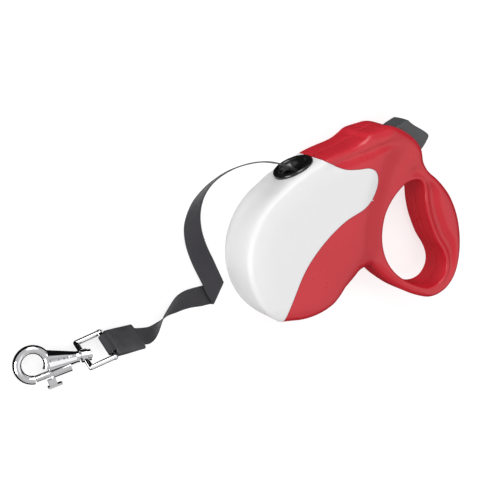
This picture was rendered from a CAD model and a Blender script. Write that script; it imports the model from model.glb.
import math

import bmesh
import bpy
import numpy as np
from mathutils import Matrix, Vector
from mathutils.geometry import delaunay_2d_cdt


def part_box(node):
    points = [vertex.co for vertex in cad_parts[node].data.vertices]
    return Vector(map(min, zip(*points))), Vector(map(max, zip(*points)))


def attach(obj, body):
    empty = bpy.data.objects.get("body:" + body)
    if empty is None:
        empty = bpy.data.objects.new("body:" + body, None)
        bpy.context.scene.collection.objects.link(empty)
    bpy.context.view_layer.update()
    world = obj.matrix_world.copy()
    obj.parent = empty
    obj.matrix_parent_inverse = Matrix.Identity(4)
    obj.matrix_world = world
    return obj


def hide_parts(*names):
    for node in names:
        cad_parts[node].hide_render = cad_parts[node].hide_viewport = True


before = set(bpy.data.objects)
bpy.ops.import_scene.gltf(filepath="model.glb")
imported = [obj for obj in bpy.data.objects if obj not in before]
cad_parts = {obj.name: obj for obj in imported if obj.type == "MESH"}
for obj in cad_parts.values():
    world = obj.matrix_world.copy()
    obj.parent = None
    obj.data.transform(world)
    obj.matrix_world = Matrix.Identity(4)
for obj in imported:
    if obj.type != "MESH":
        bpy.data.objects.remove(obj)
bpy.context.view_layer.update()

MM = 0.001
DRUM_AT = (-8.0, 4.0)
drum_low, drum_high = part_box("drum")
CENTRE_X = (drum_low.x + drum_high.x) / 2 - DRUM_AT[0] * MM
CENTRE_Y = (drum_low.y + drum_high.y) / 2 - DRUM_AT[1] * MM
MID_Z = 21.0
scene = bpy.context.scene


def row(point):
    return Vector((CENTRE_X + point[0] * MM, CENTRE_Y + point[1] * MM, point[2] * MM))


# ---- Camera and light ----------------------------------------------------------------------

CAMERA_AT = (-529.8, 253.5, MID_Z + 876.0)
CAMERA_RIGHT = (0.8746, 0.0, 0.4848)
CAMERA_AHEAD = (0.4704, -0.2419, -0.8486)
SKY_STRENGTH = 0.60
# Brightness of the surround from straight down to straight up: dark below and near the horizon
SKY_STOPS = [(0.0, 0.01), (0.18, 0.01), (0.25, 0.8), (0.40, 1.1), (0.60, 0.9), (0.72, 0.7),
             (0.84, 0.95), (1.0, 1.0)]
FLOOR_HALF = 3.0


def make_camera():
    data = bpy.data.cameras.new("camera")
    data.sensor_width = 36.0
    data.lens = 105.6
    data.clip_end = 20.0
    camera = bpy.data.objects.new("camera", data)
    right = Vector(CAMERA_RIGHT).normalized()
    ahead = Vector(CAMERA_AHEAD).normalized()
    up = right.cross(ahead).normalized()
    turn = Matrix((right, up, -ahead)).transposed().to_4x4()
    camera.matrix_world = Matrix.Translation(row(CAMERA_AT)) @ turn
    scene.collection.objects.link(camera)
    scene.camera = camera


# A square light, its size and place in metres, that looks at the middle of the leash
def area_light(name, place, size, power):
    data = bpy.data.lights.new(name, "AREA")
    data.shape = "SQUARE"
    data.size = size
    data.energy = power
    light = bpy.data.objects.new(name, data)
    light.location = place
    light.rotation_euler = (-Vector(place)).to_track_quat("-Z", "Y").to_euler()
    scene.collection.objects.link(light)


def make_studio():
    scene.view_settings.view_transform = "Standard"
    world = bpy.data.worlds.new("studio")
    scene.world = world
    world.use_nodes = True
    sky = world.node_tree
    background = sky.nodes["Background"]
    background.inputs["Strength"].default_value = SKY_STRENGTH
    # A white surround that is dark low down, in which polished metal shows its shape
    place = sky.nodes.new("ShaderNodeTexCoord")
    split = sky.nodes.new("ShaderNodeSeparateXYZ")
    sky.links.new(place.outputs["Generated"], split.inputs["Vector"])
    ramp = sky.nodes.new("ShaderNodeValToRGB")
    while len(ramp.color_ramp.elements) < len(SKY_STOPS):
        ramp.color_ramp.elements.new(0.5)
    for element, (position, level) in zip(ramp.color_ramp.elements, SKY_STOPS):
        element.position = position
        element.color = (level, level, level, 1)
    sky.links.new(split.outputs["Z"], ramp.inputs["Fac"])
    sky.links.new(ramp.outputs["Color"], background.inputs["Color"])
    # Behind the floor's edge the studio is plain white
    backdrop = node(sky, "ShaderNodeBackground", Color=(1, 1, 1, 1), Strength=1.0)
    which = sky.nodes.new("ShaderNodeLightPath")
    mixed = sky.nodes.new("ShaderNodeMixShader")
    sky.links.new(which.outputs["Is Camera Ray"], mixed.inputs["Fac"])
    sky.links.new(background.outputs["Background"], mixed.inputs[1])
    sky.links.new(backdrop.outputs["Background"], mixed.inputs[2])
    sky.links.new(mixed.outputs["Shader"], sky.nodes["World Output"].inputs["Surface"])
    area_light("key", (-0.25, 0.65, 0.75), 0.5, 3.0)
    area_light("side", (-0.9, -0.2, 0.35), 0.5, 3.9)
    area_light("back", (-0.2, 1.0, 0.42), 0.5, 1.6)
    area_light("sheen", (0.55, -0.28, 1.0), 1.1, 2.0)
    floor = bpy.data.meshes.new("floor")
    corners = [(-1, -1), (1, -1), (1, 1), (-1, 1)]
    floor.from_pydata([(x * FLOOR_HALF, y * FLOOR_HALF, 0) for x, y in corners], [],
                      [(0, 1, 2, 3)])
    ground = bpy.data.objects.new("floor", floor)
    # Glossy pieces mirror the dark surround below them and not the pale floor
    ground.visible_glossy = False
    scene.collection.objects.link(ground)
    floor.materials.append(floor_material())


# ---- Materials -----------------------------------------------------------------------------

def new_material(name):
    material = bpy.data.materials.new(name)
    material.use_nodes = True
    tree = material.node_tree
    return material, tree, tree.nodes["Principled BSDF"]


def node(tree, kind, **settings):
    made = tree.nodes.new(kind)
    for key, value in settings.items():
        if key in made.inputs:
            made.inputs[key].default_value = value
        else:
            setattr(made, key, value)
    return made


def two_colours(tree, factor, first, second, low=0.35, high=0.65):
    ramp = tree.nodes.new("ShaderNodeValToRGB")
    ramp.color_ramp.elements[0].position = low
    ramp.color_ramp.elements[0].color = (*first, 1)
    ramp.color_ramp.elements[1].position = high
    ramp.color_ramp.elements[1].color = (*second, 1)
    tree.links.new(factor, ramp.inputs["Fac"])
    return ramp.outputs["Color"]


def noise(tree, scale, detail, rough=0.6):
    place = tree.nodes.new("ShaderNodeTexCoord")
    made = node(tree, "ShaderNodeTexNoise", Scale=scale, Detail=detail, Roughness=rough)
    tree.links.new(place.outputs["Object"], made.inputs["Vector"])
    return made.outputs["Fac"]


def bump(tree, shader, height, strength, distance):
    made = node(tree, "ShaderNodeBump", Strength=strength, Distance=distance)
    tree.links.new(height, made.inputs["Height"])
    tree.links.new(made.outputs["Normal"], shader.inputs["Normal"])


def rough_band(tree, shader, factor, low, high):
    band = tree.nodes.new("ShaderNodeMapRange")
    band.inputs["To Min"].default_value = low
    band.inputs["To Max"].default_value = high
    tree.links.new(factor, band.inputs["Value"])
    tree.links.new(band.outputs["Result"], shader.inputs["Roughness"])


def floor_material():
    material, tree, shader = new_material("floor")
    shader.inputs["Base Color"].default_value = (0.40, 0.40, 0.40, 1)
    shader.inputs["Roughness"].default_value = 0.9
    shader.inputs["Emission Color"].default_value = (1, 1, 1, 1)
    shader.inputs["Emission Strength"].default_value = 0.72
    return material


# Moulded plastic: a faint drift of colour, fine spark-eroded grain and a slightly uneven gloss
def plastic(name, base, other, low, high, grain, coat=0.0):
    material, tree, shader = new_material(name)
    drift = noise(tree, 18.0, 3.0)
    tree.links.new(two_colours(tree, drift, base, other), shader.inputs["Base Color"])
    rough_band(tree, shader, noise(tree, 60.0, 5.0), low, high)
    bump(tree, shader, noise(tree, 2600.0, 2.0), grain, 0.00008)
    shader.inputs["Coat Weight"].default_value = coat
    shader.inputs["Coat Roughness"].default_value = 0.12
    return material


# Polished or drawn metal: a faint drift of tint, uneven gloss and fine handling marks
def metal(name, colour, low, high, scale=90.0, marks=0.04):
    material, tree, shader = new_material(name)
    shader.inputs["Metallic"].default_value = 1.0
    drift = noise(tree, 40.0, 3.0)
    darker = tuple(c * 0.94 for c in colour)
    tree.links.new(two_colours(tree, drift, darker, colour), shader.inputs["Base Color"])
    rough_band(tree, shader, noise(tree, scale, 6.0, 0.7), low, high)
    bump(tree, shader, noise(tree, 700.0, 3.0), marks, 0.00004)
    return material


# A twill of fine yarns, drawn by the tape's own lengths across and along it in millimetres
def woven(name, light, dark):
    material, tree, shader = new_material(name)
    place = node(tree, "ShaderNodeUVMap", uv_map="weave")
    slope = node(tree, "ShaderNodeMapping")
    slope.inputs["Rotation"].default_value = (0, 0, math.radians(38))
    tree.links.new(place.outputs["UV"], slope.inputs["Vector"])
    twill = node(tree, "ShaderNodeTexWave", Scale=0.52, Distortion=0.35, Detail=1.0)
    twill.bands_direction = "Y"
    tree.links.new(slope.outputs["Vector"], twill.inputs["Vector"])
    yarn = node(tree, "ShaderNodeTexWave", Scale=0.62, Distortion=0.2)
    yarn.bands_direction = "X"
    tree.links.new(place.outputs["UV"], yarn.inputs["Vector"])
    both = node(tree, "ShaderNodeMath", operation="MULTIPLY")
    tree.links.new(twill.outputs["Fac"], both.inputs[0])
    tree.links.new(yarn.outputs["Fac"], both.inputs[1])
    tree.links.new(two_colours(tree, both.outputs[0], dark, light, 0.0, 0.75),
                   shader.inputs["Base Color"])
    bump(tree, shader, both.outputs[0], 0.55, 0.00022)
    shader.inputs["Roughness"].default_value = 0.62
    shader.inputs["Sheen Weight"].default_value = 0.25
    shader.inputs["Sheen Roughness"].default_value = 0.4
    return material


# Coated leather: fine pebbles, a slight drift of colour and an uneven gloss
def leather(name, base, other):
    material, tree, shader = new_material(name)
    cells = node(tree, "ShaderNodeTexVoronoi", Scale=1500.0, feature="DISTANCE_TO_EDGE")
    place = tree.nodes.new("ShaderNodeTexCoord")
    tree.links.new(place.outputs["Object"], cells.inputs["Vector"])
    tree.links.new(two_colours(tree, noise(tree, 120.0, 5.0), base, other),
                   shader.inputs["Base Color"])
    rough_band(tree, shader, noise(tree, 260.0, 4.0), 0.36, 0.52)
    bump(tree, shader, cells.outputs["Distance"], 0.16, 0.00012)
    return material


RED = plastic("red_plastic", (0.54, 0.012, 0.024), (0.58, 0.015, 0.028), 0.24, 0.34, 0.05, 0.12)
WHITE = plastic("white_plastic", (0.79, 0.785, 0.79), (0.81, 0.805, 0.81), 0.34, 0.46, 0.04, 0.05)
BLACK = plastic("black_plastic", (0.006, 0.006, 0.006), (0.012, 0.012, 0.012), 0.08, 0.16, 0.02, 0.6)
DARK = plastic("button_plastic", (0.055, 0.058, 0.062), (0.075, 0.078, 0.082), 0.34, 0.5, 0.12)
GREY = plastic("grey_plastic", (0.03, 0.03, 0.034), (0.05, 0.05, 0.055), 0.4, 0.6, 0.1)
NATURAL = plastic("natural_plastic", (0.62, 0.61, 0.57), (0.68, 0.67, 0.63), 0.4, 0.6, 0.1)
CHROME = metal("chrome", (0.88, 0.88, 0.90), 0.035, 0.10)
STEEL = metal("steel", (0.55, 0.55, 0.57), 0.22, 0.4, 300.0, 0.1)
SPRING = metal("spring_steel", (0.26, 0.28, 0.32), 0.25, 0.45, 400.0, 0.1)
WEAVE = woven("woven_tape", (0.060, 0.054, 0.066), (0.010, 0.009, 0.012))
LEATHER = leather("leather", (0.036, 0.036, 0.040), (0.052, 0.052, 0.057))
TAPE_INSIDE = plastic("tape_inside", (0.03, 0.03, 0.034), (0.045, 0.045, 0.05), 0.6, 0.8, 0.3)

CAD_FINISH = {
    "housing_screws": STEEL, "drum_axle": STEEL, "tape_anchor_pin": STEEL, "lock_leaf": STEEL,
    "drum": NATURAL, "toothed_flange": NATURAL, "spring_cover": GREY, "brake_slide": GREY,
    "mainspring": SPRING, "brake_spring": SPRING, "bolt_spring": SPRING,
    "tape_roll": TAPE_INSIDE, "inner_tape": TAPE_INSIDE, "tape_loop": TAPE_INSIDE,
    "hook_eye": CHROME, "hook_body": CHROME, "swivel_washer": CHROME, "hook_bolt": CHROME,
    "thumb_tab": CHROME,
}


def finish_cad_nodes():
    for name, material in CAD_FINISH.items():
        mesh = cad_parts[name].data
        mesh.materials.clear()
        mesh.materials.append(material)


# ---- Curves and mesh helpers ---------------------------------------------------------------

CLEAR = 0.93        # a moved line's least distance from its own edge, as a share of the depth
SLIVER = 4e-9       # square metres; a cut leaves smaller faces with no reliable direction
WELD = 2e-5         # metres between the points of a new piece that are one point
CUT_WELD = 3e-5     # the same along the edges of a cut


# A smooth curve through the points, with this many steps from each to the next
def spline(points, steps, closed=True):
    p = np.array(points, float)
    count = len(p)
    out = []
    for i in range(count if closed else count - 1):
        if closed:
            a, b, c, d = p[i - 1], p[i], p[(i + 1) % count], p[(i + 2) % count]
        else:
            a, b, c, d = p[max(i - 1, 0)], p[i], p[i + 1], p[min(i + 2, count - 1)]
        for k in range(steps):
            t = k / steps
            out.append(0.5 * (2 * b + (c - a) * t + (2 * a - 5 * b + 4 * c - d) * t * t
                              + (3 * b - a - 3 * c + d) * t ** 3))
    if not closed:
        out.append(p[-1])
    return np.array(out)


def arc(centre, radius, start, end, steps):
    turns = np.radians(np.linspace(start, end, steps + 1))
    return np.array(centre) + radius * np.stack([np.cos(turns), np.sin(turns)], 1)


# An even walk round a closed line, so that its rings have faces of one size
def even(line, gap, closed=True):
    p = np.vstack([line, line[:1]]) if closed else np.array(line)
    far = np.concatenate([[0], np.cumsum(np.linalg.norm(np.diff(p, axis=0), axis=1))])
    count = max(int(round(far[-1] / gap)), 8)
    at = np.linspace(0, far[-1], count + 1)
    if closed:
        at = at[:-1]
    return np.stack([np.interp(at, far, p[:, k]) for k in range(p.shape[1])], 1)


def normals(line):
    run = np.roll(line, -1, 0) - np.roll(line, 1, 0)
    run /= np.maximum(np.linalg.norm(run, axis=1, keepdims=True), 1e-9)
    return np.stack([-run[:, 1], run[:, 0]], 1)


# Distance from each point to a closed line, positive inside it
def inside(points, line):
    points = np.asarray(points, float)
    a, b = line, np.roll(line, -1, 0)
    ab = b - a
    size = (ab ** 2).sum(1)
    out = np.empty(len(points))
    for i in range(0, len(points), 2000):
        p = points[i:i + 2000, None, :]
        t = np.clip(((p - a) * ab).sum(2) / size, 0, 1)
        gap = np.sqrt((((a + t[..., None] * ab) - p) ** 2).sum(2)).min(1)
        px, py = p[..., 0], p[..., 1]
        spans = (a[:, 1] > py) != (b[:, 1] > py)
        with np.errstate(divide="ignore", invalid="ignore"):
            cross = a[:, 0] + (py - a[:, 1]) / (b[:, 1] - a[:, 1]) * ab[:, 0]
        odd = (spans & (px < cross)).sum(1) % 2
        out[i:i + 2000] = np.where(odd == 1, gap, -gap)
    return out


def signed_area(line):
    x, y = line[:, 0], line[:, 1]
    return 0.5 * float((x * np.roll(y, -1) - np.roll(x, -1) * y).sum())


def anticlockwise(line):
    return line if signed_area(line) > 0 else line[::-1]


# A closed anticlockwise line moved inwards, and which points don't run into another part of it
def inset(line, depth):
    moved = line + normals(line) * depth
    return moved, inside(moved, line) > depth * CLEAR


# Smooth shading, broken where two real faces meet at more than the angle
def soften(obj, angle=38):
    bm = bmesh.new()
    bm.from_mesh(obj.data)
    limit = math.radians(angle)
    for face in bm.faces:
        face.smooth = True
    for edge in bm.edges:
        sides = edge.link_faces
        edge.smooth = len(sides) == 2 and (edge.calc_face_angle(4.0) < limit
                                           or min(face.calc_area() for face in sides) < SLIVER)
    bm.to_mesh(obj.data)
    bm.free()
    return obj


def add_piece(name, points, faces, material, angle=38, fix=True):
    mesh = bpy.data.meshes.new(name)
    mesh.from_pydata([row(p) for p in points], [], faces)
    if fix:
        bm = bmesh.new()
        bm.from_mesh(mesh)
        bmesh.ops.remove_doubles(bm, verts=bm.verts, dist=WELD)
        bmesh.ops.recalc_face_normals(bm, faces=bm.faces)
        bm.to_mesh(mesh)
        bm.free()
    mesh.materials.append(material)
    obj = bpy.data.objects.new(name, mesh)
    scene.collection.objects.link(obj)
    return soften(obj, angle)


# Rings of equal length joined in order into a skin, each ring a closed loop of points
def skin(rings, close_ends=True):
    count = len(rings[0])
    points = [p for ring in rings for p in ring]
    faces = []
    for i in range(len(rings) - 1):
        for k in range(count):
            a, b = i * count + k, i * count + (k + 1) % count
            faces.append((a, b, b + count, a + count))
    if close_ends:
        faces.append(tuple(range(count - 1, -1, -1)))
        faces.append(tuple(range((len(rings) - 1) * count, len(rings) * count)))
    return points, faces


def apply_modifiers(obj):
    bpy.context.view_layer.update()
    graph = bpy.context.evaluated_depsgraph_get()
    mesh = bpy.data.meshes.new_from_object(obj.evaluated_get(graph))
    obj.modifiers.clear()
    obj.data = mesh


# Cuts every cutter away in one pass; they don't touch each other
def cut(obj, cutters):
    bm = bmesh.new()
    for cutter in cutters:
        bm.from_mesh(cutter.data)
        bpy.data.objects.remove(cutter)
    mesh = bpy.data.meshes.new("cutters")
    bm.to_mesh(mesh)
    bm.free()
    tool = bpy.data.objects.new("cutters", mesh)
    scene.collection.objects.link(tool)
    made = obj.modifiers.new("cut", "BOOLEAN")
    made.operation = "DIFFERENCE"
    made.solver = "EXACT"
    made.use_self = True
    made.object = tool
    apply_modifiers(obj)
    bpy.data.objects.remove(tool)
    bm = bmesh.new()
    bm.from_mesh(obj.data)
    bmesh.ops.remove_doubles(bm, verts=bm.verts, dist=CUT_WELD)
    bmesh.ops.dissolve_degenerate(bm, dist=CUT_WELD, edges=bm.edges)
    bmesh.ops.triangulate(bm, faces=[face for face in bm.faces if len(face.verts) > 4])
    bm.to_mesh(obj.data)
    bm.free()


# ---- Casing --------------------------------------------------------------------------------

CASING_R = 55.5
WALL_TOP = 15.1
CASING = anticlockwise(np.vstack([
    spline([(64, 48), (61, 62), (56, 73), (50, 81.5), (40, 78.5), (29, 74), (17, 70.6), (6.5, 67),
            (-10, 59.3), (-21, 53.4)], 4, closed=False),
    arc((0, 0), CASING_R, 120, 240, 40)[1:],
    arc((-11, -5), 44, 262, 326, 18),
    spline([(33, -23.5), (40, -17.5), (51, -12), (53, 0), (53.5, 12), (56, 22), (61, 33), (64, 48)],
           4, closed=False)[:-1]]))
HANDLE = anticlockwise(spline([
    (36, 0), (38, -14), (46, -15.5), (54, -20), (64, -29), (78, -38.5), (93, -45.5), (106, -48.5),
    (118, -44.5), (126.5, -35), (130.5, -22), (131.2, -7), (129, 8), (124.6, 20.5), (118.2, 31.5),
    (109.5, 41), (100.5, 48.5), (95.5, 56), (93.5, 65), (88.5, 72.5), (80, 79), (70, 83.5),
    (60, 85.8), (50, 83.5), (40, 78.8), (36, 60)], 6))
OPENING = anticlockwise(spline([
    (85, 43.5), (76.5, 40.5), (67.5, 32), (61, 21), (58.5, 9), (59, -2), (62.5, -13), (68.5, -22),
    (77, -29.5), (88, -35.5), (100, -39.5), (110, -37.5), (116, -30.5), (117, -22), (113.5, -13),
    (106.5, -2.5), (99.8, 12.5), (96.5, 25), (95, 36), (91.5, 42.5)], 6))
COVER_EDGE = spline([
    (-26.5, -60), (-25.5, -45), (-19.5, -29.5), (-9.5, -9.5), (5, 7.5), (21.5, 20.5), (38.5, 28.5),
    (46.5, 36), (50.2, 45.5), (48.5, 53.5), (42, 57.6), (32, 57.7), (21.5, 58.7), (11, 63.2),
    (4.5, 67), (-2, 76)], 6, closed=False)
COVER = anticlockwise(np.vstack([[(-90, 90), (-90, -70), (-27, -70)], COVER_EDGE, [(-4, 90)]]))
SEAM = 0.13         # half the gap between the cover's edge and the red shell
COVER_T = 2.0
SHELL_T = 2.2
EDGE_SLOPE = 2.2    # how steeply the height falls outside an outline, for the blends
OPEN_RIM = 2.4      # how far the hand opening's rounded rim reaches


# The larger of two values, rounded off where they are within the width of each other
def smooth_max(a, b, width):
    blend = np.clip(0.5 + 0.5 * (a - b) / width, 0, 1)
    return b + (a - b) * blend + width * blend * (1 - blend)


# The casing's half thickness: a round edge, a soft crease, then a slow rise to a flat face
def casing_height(d):
    radius, stop, slope, run = 5.0, math.radians(70), 0.16, 14.0
    bend = radius * (1 - math.cos(stop))
    top = WALL_TOP + radius * math.sin(stop)
    t = np.clip(d, 0, bend)
    edge = WALL_TOP + np.sqrt(np.maximum(radius ** 2 - (radius - t) ** 2, 0))
    u = np.clip(d - bend, 0, run)
    face = top + slope * u - slope * u * u / (2 * run)
    z = np.where(d < bend, edge, face)
    return np.where(d < 0, WALL_TOP + EDGE_SLOPE * d, z)


# How far below its top a rounded rim of this width is, at a distance from its edge, as a share
def rim_fall(d, width):
    s = np.clip(1 - d / width, 0, 1)
    return 1 - np.sqrt(1 - s * s)


# The grip's half thickness, hollowed between its outer edge and the rim of the hand opening
def handle_height(d_out, d_open, x):
    edge, low = 7.0, 8.5
    t = np.clip(1 - d_out / edge, 0, 1)
    z = low + edge * np.sqrt(1 - t * t)
    z = z - 2.6 * rim_fall(d_open, OPEN_RIM) - 0.2
    valley = np.exp(-((d_open - 6.8) / 4.4) ** 2) * np.clip((d_out - 3) / 6, 0, 1)
    z = z - 3.8 * valley * smooth_step(x, 74, 100)
    return np.where(d_out < 0, low + EDGE_SLOPE * d_out, z)


def smooth_step(value, low, high):
    t = np.clip((value - low) / (high - low), 0, 1)
    return t * t * (3 - 2 * t)


# The line where the casing has sunk to the grip's height, from above the button to below the neck
BACK_LINE = spline([(88, 100), (78, 72), (67, 50), (60, 30), (56.5, 10), (56, -6), (50, -20),
                    (38, -40), (30, -60)], 6, closed=False)
BACK_SIDE = np.vstack([BACK_LINE, [(-120, -60), (-120, 100)]])
# The foot of the top ridge, a shallow valley between it and the flat of the casing
VALLEY = spline([(-4, 58), (14, 62.6), (28, 65.4), (41, 68.4), (52, 71.6), (62, 73.4), (72, 72)], 6,
                closed=False)


# The upper half's height over the parting plane
def height(points):
    points = np.asarray(points, float)
    d_case = inside(points, CASING)
    d_out = inside(points, HANDLE)
    d_open = -inside(points, OPENING)
    d_all = smooth_max(d_case, d_out, 6.0)
    casing = casing_height(d_all) - 2.2 * rim_fall(d_open, OPEN_RIM)
    share = smooth_step(inside(points, BACK_SIDE), -4, 24)
    z = handle_height(d_all, d_open, points[:, 0]) * (1 - share) + casing * share
    # The ridge stands proud of the valley at its foot
    gap = np.sqrt(((points[:, None, :] - VALLEY) ** 2).sum(2)).min(1)
    reach = smooth_step(points[:, 0], 2, 20) * (1 - smooth_step(points[:, 0], 56, 76))
    z = z - 2.1 * np.exp(-(gap / 3.0) ** 2) * reach
    return np.minimum(z, MID_Z - 0.02)


# Every point of the flat pattern, with rings along the edges and on both sides of the cover's edge
def pattern():
    points, edges = [], []

    def add(line, closed=True, keep=None):
        number = {}
        for i, p in enumerate(line):
            if keep is None or keep[i]:
                number[i] = len(points)
                points.append(Vector((float(p[0]), float(p[1]))))
        for i in range(len(line) if closed else len(line) - 1):
            j = (i + 1) % len(line)
            if i in number and j in number:
                edges.append((number[i], number[j]))

    for line in (CASING, HANDLE):
        walk = even(line, 1.3)
        add(walk)
        for depth in (0.25, 0.8, 1.6, 2.6, 3.8, 5.2, 7.0):
            moved, keep = inset(walk, depth)
            add(moved, keep=keep & (inside(moved, OPENING) < -0.3))
    walk = even(OPENING, 1.2)
    add(walk)
    for depth in (0.2, 0.7, 1.4, 2.4, 3.6, 5.0, 6.6):
        moved = walk - normals(walk) * depth
        keep = (-inside(moved, OPENING) > depth * CLEAR) & (inside(moved, HANDLE) > 0.3)
        add(moved, keep=keep)
    edge = even(COVER_EDGE, 1.1, closed=False)
    run = np.gradient(edge, axis=0)
    run /= np.linalg.norm(run, axis=1, keepdims=True)
    side = np.stack([-run[:, 1], run[:, 0]], 1)
    for away in (SEAM, -SEAM, SEAM + 0.35, -SEAM - 0.35, 1.1, -1.1):
        add(edge + side * away, closed=False)
    # Loose points fill what is left
    step = 2.1
    xs = np.arange(-60, 136, step)
    ys = np.arange(-54, 92, step)
    grid = np.array([(x + (j % 2) * step / 2, y) for j, y in enumerate(ys) for x in xs])
    near = np.minimum(np.abs(inside(grid, CASING)), np.abs(inside(grid, HANDLE)))
    near = np.minimum(near, np.abs(inside(grid, OPENING)))
    points += [Vector((float(x), float(y))) for x, y in grid[near > 1.0]]
    return points, edges


# Distance from each point to the body's outline, positive on the body
def in_body(p):
    solid = np.maximum(inside(p, CASING), inside(p, HANDLE))
    return np.minimum(solid, -inside(p, OPENING))


# The flat pattern cut into faces, with only those that lie on the body
def flat_skin():
    points, edges = pattern()
    flat, _, faces, _, _, _ = delaunay_2d_cdt(points, edges, [], 0, 1e-4)
    p = np.array([(v.x, v.y) for v in flat])
    middle = np.array([p[list(f)].mean(0) for f in faces])
    kept = [tuple(f) for f, d in zip(faces, in_body(middle)) if d > 0]
    used = sorted({i for f in kept for i in f})
    number = {old: new for new, old in enumerate(used)}
    p = p[used]
    kept = [tuple(number[i] for i in f) for f in kept]
    return p, [f if signed_area(p[list(f)]) > 0 else f[::-1] for f in kept]


# The edges that only one face has, each in that face's own direction
def boundary(faces):
    seen = {}
    for f in faces:
        for a, b in zip(f, f[1:] + f[:1]):
            key = (min(a, b), max(a, b))
            seen[key] = None if key in seen else (a, b)
    return [e for e in seen.values() if e]


FLAT, FACES = flat_skin()
TOP_Z = height(FLAT)

# How far down each ring of a wall is, as a share of its height or in millimetres, and how far in.
# The shells meet in a fine groove; the cover runs straight on to the other half.
GROOVED = [(0.8, None, 0), (0.55, None, 0), (0.3, None, 0), (None, 0.6, 0), (None, 0.25, 0.1),
           (None, 0.05, 0.6)]
STRAIGHT = [(0.8, None, 0), (0.55, None, 0), (0.3, None, 0), (None, 0.0, 0)]


# Points and faces of the half skin with its walls, and each point's outward direction
def walled_half(levels):
    points = [(x, y, z) for (x, y), z in zip(FLAT, TOP_Z)]
    faces = list(FACES)
    rim = boundary(FACES)
    out = {}
    for a, b in rim:
        run = FLAT[b] - FLAT[a]
        turn = np.array([run[1], -run[0]]) / max(np.linalg.norm(run), 1e-9)
        for i in (a, b):
            out[i] = out.get(i, 0) + turn
    columns = {}
    outward = {}
    for i, turn in out.items():
        turn = turn / max(np.linalg.norm(turn), 1e-9)
        column = [i]
        for share, exact, back in levels:
            high = TOP_Z[i] * share if exact is None else exact
            column.append(len(points))
            outward[len(points)] = (turn[0], turn[1], 0.0)
            points.append((FLAT[i][0] - turn[0] * back, FLAT[i][1] - turn[1] * back, high))
        columns[i] = column
    for a, b in rim:
        for k in range(len(levels)):
            faces.append((columns[a][k], columns[a][k + 1], columns[b][k + 1], columns[b][k]))
    points = np.array(points)
    ways = vertex_normals(points, faces)
    for i, way in outward.items():
        ways[i] = way
    return points, faces, ways


def vertex_normals(points, faces):
    mesh = bpy.data.meshes.new("measure")
    mesh.from_pydata([tuple(p) for p in points], [], faces)
    out = np.zeros(len(points) * 3)
    mesh.vertices.foreach_get("normal", out)
    bpy.data.meshes.remove(mesh)
    return out.reshape(-1, 3)


# Gives a skin its wall, within the casing's own height
def solid_from_skin(obj, thickness):
    made = obj.modifiers.new("thick", "SOLIDIFY")
    made.thickness = thickness * MM
    made.offset = -1
    made.use_rim = True
    made.use_even_offset = False
    apply_modifiers(obj)
    bm = bmesh.new()
    bm.from_mesh(obj.data)
    bmesh.ops.remove_doubles(bm, verts=bm.verts, dist=1e-7)
    for corner in bm.verts:
        corner.co.z = min(max(corner.co.z, 0.0), 2 * MID_Z * MM)
    bm.to_mesh(obj.data)
    bm.free()


HALF_POINTS, HALF_FACES, HALF_WAYS = walled_half(GROOVED)
HALF_SIDE = inside(HALF_POINTS[:, :2], COVER)

# The first screw is under the cover; the others' holes show on the right side
SCREWS = [(-24, -40), (24, 63.5), (46, -5), (44, 68), (123, -26), (86, 60)]


def prism_cutter(outline, low, high):
    line = anticlockwise(np.array(outline, float))
    rings = [[(x, y, z) for x, y in line] for z in (low, high)]
    return add_piece("cutter", *skin(rings), BLACK)


GUIDE_AT = Vector((-9.5, 60, MID_Z))
GUIDE_TURN = math.radians(115)
GUIDE_AXIS = Vector((math.cos(GUIDE_TURN), math.sin(GUIDE_TURN), 0))
GUIDE_SIDE = Vector((-math.sin(GUIDE_TURN), math.cos(GUIDE_TURN), 0))


# A circle round the guide ring's axis, at a distance along it
def guide_circle(radius, at, count):
    ring = []
    for k in range(count):
        a = math.tau * k / count
        ring.append(GUIDE_AT + GUIDE_AXIS * at + GUIDE_SIDE * (radius * math.cos(a))
                    + Vector((0, 0, radius * math.sin(a))))
    return ring


# A round cutter along the guide ring's axis, from inside the casing to well outside it
def seat_cutter(radius):
    rings = [guide_circle(radius, at, 64) for at in (-9, 30)]
    return add_piece("cutter", *skin(rings), BLACK)


SLOT_HALF = 9.5     # half the width of the button's slot
HOLE_R = 2.6


# One red shell: the half skin outside the cover's edge, let in by the cover's thickness under it
def make_shell(name, is_left):
    points = HALF_POINTS.copy()
    under = np.clip((HALF_SIDE + SEAM) / (2 * SEAM), 0, 1)
    points -= HALF_WAYS * (under * (COVER_T + 0.05))[:, None]
    points[:, 2] = np.maximum(points[:, 2], 0.02)
    lift = 1 if is_left else -1
    placed = [(x, y, MID_Z + lift * z) for x, y, z in points]
    faces = HALF_FACES if is_left else [f[::-1] for f in HALF_FACES]
    shell = add_piece("moulded_" + name, placed, faces, RED)
    solid_from_skin(shell, SHELL_T)
    slot = [(61.5, 95), (60.5, 76), (72, 70), (84, 64.5), (89, 61), (110, 57), (110, 95)]
    cutters = [prism_cutter(slot, MID_Z - SLOT_HALF, MID_Z + SLOT_HALF), seat_cutter(14.9)]
    if not is_left:
        for x, y in SCREWS[1:]:
            hole = [(x + HOLE_R * math.cos(a), y + HOLE_R * math.sin(a))
                    for a in np.linspace(0, math.tau, 33)[:-1]]
            cutters.append(prism_cutter(hole, -1, MID_Z - 8))
    cut(shell, cutters)
    soften(shell)
    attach(shell, "casing")
    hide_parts(name)


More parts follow.
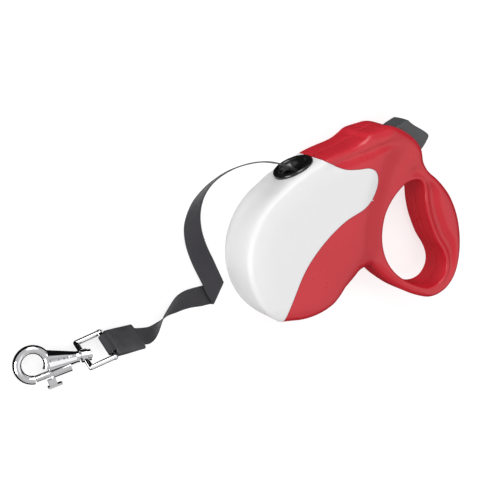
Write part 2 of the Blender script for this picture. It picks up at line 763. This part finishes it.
# The white cover wraps both halves, so its skin is the part of both inside the edge
def make_cover():
    half_points, half_faces, ways = walled_half(STRAIGHT)
    side = inside(half_points[:, :2], COVER)
    chosen = [f for f in half_faces if min(side[i] for i in f) > SEAM * 0.6]
    used = sorted({i for f in chosen for i in f})
    number = {old: new for new, old in enumerate(used)}
    fall = np.clip(1 - (side - SEAM) / 0.35, 0, 1) ** 2 * 0.25
    points = half_points - ways * fall[:, None]
    placed = [(x, y, MID_Z + turn * z) for turn in (1, -1) for x, y, z in points[used]]
    half = len(used)
    faces = [tuple(number[i] for i in f) for f in chosen]
    faces += [tuple(half + number[i] for i in f[::-1]) for f in chosen]
    cover = add_piece("front_cover_shell", placed, faces, WHITE)
    solid_from_skin(cover, COVER_T - 0.1)
    cut(cover, [seat_cutter(15.05)])
    soften(cover)
    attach(cover, "casing")
    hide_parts("front_cover")


# The guide ring: a rolled lip, a foot under it, and a funnel that narrows to the throat
def make_guide_ring():
    lip = [(11.9 + 1.75 * math.cos(a) + 1.45, 0.1 + 1.75 * math.sin(a))
           for a in np.radians(np.linspace(-40, 180, 15))]
    profile = [(13.0, -8.5), (13.0, -1.4), (15.0, -1.4), (15.0, -0.6)] + lip
    profile += [(11.3, -1.0), (10.6, -2.0), (9.8, -3.2), (9.25, -4.6), (9.0, -6.2), (9.0, -8.5)]
    rings = [guide_circle(radius, at, 96) for radius, at in profile + [profile[0]]]
    ring = add_piece("guide_ring", *skin(rings, close_ends=False), BLACK, 45)
    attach(ring, "casing")
    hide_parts("tape_guide_ring")


# ---- Button --------------------------------------------------------------------------------

BUTTON_HALF = 9.0
SCOOP = 2.6         # how much narrower the button is at its waist


# The thumb button: its side outline drawn across, narrower at the waist, with rounded edges
def make_button():
    outline = even(spline([
        (67.6, 76.9), (68.0, 79.2), (69.4, 81.4), (72.6, 83.9), (76.2, 85.7), (79.4, 87.2),
        (81.2, 87.85), (82.8, 87.6), (85.2, 85.9), (88.4, 84.0), (94, 80.6), (98.4, 77.8),
        (100.8, 75.9), (101.25, 74.2), (100.6, 72.1), (97.8, 68.4), (95.2, 65.3), (93.4, 64.0),
        (91, 64.9), (80, 70.45), (70, 75.6)], 8), 0.45)
    outline = anticlockwise(outline)
    direction = normals(outline)
    rings = []
    # From one side to the other: share of the half width, and how far in the outline is
    stops = [(-1.0, 1.0), (-0.985, 0.55), (-0.95, 0.2), (-0.88, 0.0)]
    stops += [(s, 0.0) for s in np.linspace(-0.7, 0.7, 9)]
    stops += [(-s, e) for s, e in stops[3::-1]]
    for share, back in stops:
        ring = []
        for p, n in zip(outline, direction):
            q = p + n * back * 0.9
            scoop = SCOOP * math.exp(-(((q[0] - 86) * 0.88 + (q[1] - 76) * -0.47) / 5.0) ** 2)
            crown = 0.35 * share * share
            z = (BUTTON_HALF - scoop) * share
            q = q + n * crown * (1 if q[1] > 70 else 0)
            ring.append((q[0], q[1], MID_Z + z))
        rings.append(ring)
    button = add_piece("thumb_button", *skin(rings), DARK, 50)
    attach(button, "button")
    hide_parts("brake_button")


# ---- Tape and sleeve -----------------------------------------------------------------------

TAPE_W = 15.0
TAPE_T = 0.8
# Along the tape: the middle of its width, then half its width as a vector
TAPE_ROWS = [
    (-8.5, 57.5, 21, 0, 0, 7.5), (-13, 60.5, 21, 0, 0, 7.5), (-20, 63, 21, 0, 0.5, 7.5),
    (-32, 65.5, 20.5, 0, 1.3, 7.4), (-45, 65, 19.5, 0, 2.1, 7.2), (-57, 62, 18, -0.3, 2.5, 7.1),
    (-67, 57, 16.5, -0.6, 2.7, 7), (-75, 50.5, 15, -0.4, 2.5, 7), (-81, 42, 13.5, 0.5, 2.2, 7.1),
    (-84, 32, 12.3, 1.7, 1.4, 7.1), (-84, 22, 10.8, 3.5, 0.5, 6.6), (-81.5, 12, 9, 5, 1, 5.5),
    (-77.5, 3, 6.7, 6, 1.5, 4.2), (-73, -5.5, 4.8, 6.6, 2.5, 2.6), (-69, -13, 3.8, 6.7, 3.2, 1),
    (-65.5, -20, 3.5, 6.5, 4, 0.2), (-63, -25, 3.5, 5.5, 6, 0), (-61, -28.5, 3.4, 4.4, 7.4, 0),
    (-59.6, -30.2, 2.2, 4.1, 7.7, 0), (-61.5, -30.4, 0.8, 4, 7.5, 0),
    (-66.5, -30.6, 0.6, 2, 7.5, 0), (-73, -31, 0.7, 0, 7.5, 0.1), (-80, -31, 1.6, -0.2, 7.4, 1),
    (-87, -31.6, 2.6, -0.8, 7.3, 1.8), (-94, -33.4, 4, -1.3, 6.8, 3),
    (-100.5, -36.5, 5.8, -2, 5, 5.2), (-106, -41, 7.4, -3.2, 2.2, 6.5),
    (-110.5, -46.5, 7.8, -2.5, -1, 7), (-115.5, -50, 8.5, -1.2, -2.6, 7),
    (-121, -51, 9.2, 0, -4, 6.4), (-126.5, -50.3, 9.8, 1, -4.3, 6.1)]


# The tape as a skin of rings; each ring runs across one face and back across the other
def make_tape():
    rows = spline(TAPE_ROWS, 5, closed=False)
    across = np.linspace(1, -1, 13)
    rings, weave = [], []
    far = 0.0
    for i, values in enumerate(rows):
        centre, half = values[:3], values[3:]
        run = rows[min(i + 1, len(rows) - 1)][:3] - rows[max(i - 1, 0)][:3]
        if i:
            far += float(np.linalg.norm(centre - rows[i - 1][:3]))
        face = np.cross(run, half)
        face *= TAPE_T / 2 / np.linalg.norm(face)
        ring, marks = [], []
        for turn in (1, -1):
            for s in across * turn:
                thick = 0.55 if abs(s) > 0.99 else (1.08 if abs(s) > 0.8 else 1.0)
                ring.append(tuple(centre + half * s + face * turn * thick))
                marks.append((s * TAPE_W / 2, far))
        rings.append(ring)
        weave.append(marks)
    points, faces = skin(rings)
    tape = add_piece("tape", points, faces, WEAVE, 60, fix=False)
    marks = [m for ring in weave for m in ring]
    layer = tape.data.uv_layers.new(name="weave")
    for loop in tape.data.loops:
        layer.data[loop.index].uv = marks[loop.vertex_index]
    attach(tape, "casing")
    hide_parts("free_tape")


SLEEVE_AT = (-126.5, -50.3, 9.8)
SLEEVE_TURN = (55, -8.7, 182.3)


def sleeve_matrix():
    x, y, z = (math.radians(a) for a in SLEEVE_TURN)
    turn = Matrix.Rotation(z, 4, "Z") @ Matrix.Rotation(y, 4, "Y") @ Matrix.Rotation(x, 4, "X")
    return Matrix.Translation(SLEEVE_AT) @ turn


# The leather sleeve: a flat tube that opens from the tape's thickness to the loop's
def make_sleeve():
    at = sleeve_matrix()
    length, half_w = 22.9, 11.0
    rings = []

    def oval(s, half_y, half_z, square_y, square_z, waist=0.0):
        ring = []
        for k in range(40):
            a = math.tau * k / 40
            c, d = math.cos(a), math.sin(a)
            y = half_y * math.copysign(abs(c) ** square_y, c)
            z = half_z * math.copysign(abs(d) ** square_z, d)
            z *= 1 - waist * abs(c) ** 3
            ring.append(tuple(at @ Vector((0.1 + s, y, z))))
        return ring

    stations = [0.0, 0.12, 0.4, 1.2, 3, 6, 9, 12, 15, 18, 20.5, 21.9, 22.55, length]
    for s in stations:
        share = min(max((s - 3) / 14, 0), 1)
        open_up = share * share * (3 - 2 * share)
        half_t = 2.0 + 1.35 * open_up
        end = min(s, length - s)
        shrink = 0.35 * max(0, 1 - end / 0.45) ** 2
        rings.append(oval(s, half_w - shrink, half_t - shrink, 0.42, 0.62, 0.16))
    # The open end, into which the loop runs
    rings += [oval(s, 8.4, 2.75, 0.3, 0.5) for s in (length, length - 7)]
    sleeve = add_piece("sleeve", *skin(rings), LEATHER, 50)
    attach(sleeve, "casing")
    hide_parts("leather_sleeve")
    return sleeve


make_camera()
make_studio()
finish_cad_nodes()
leather_sleeve = make_sleeve()
make_tape()
make_shell("left_shell", True)
make_shell("right_shell", False)
make_cover()
make_guide_ring()
make_button()
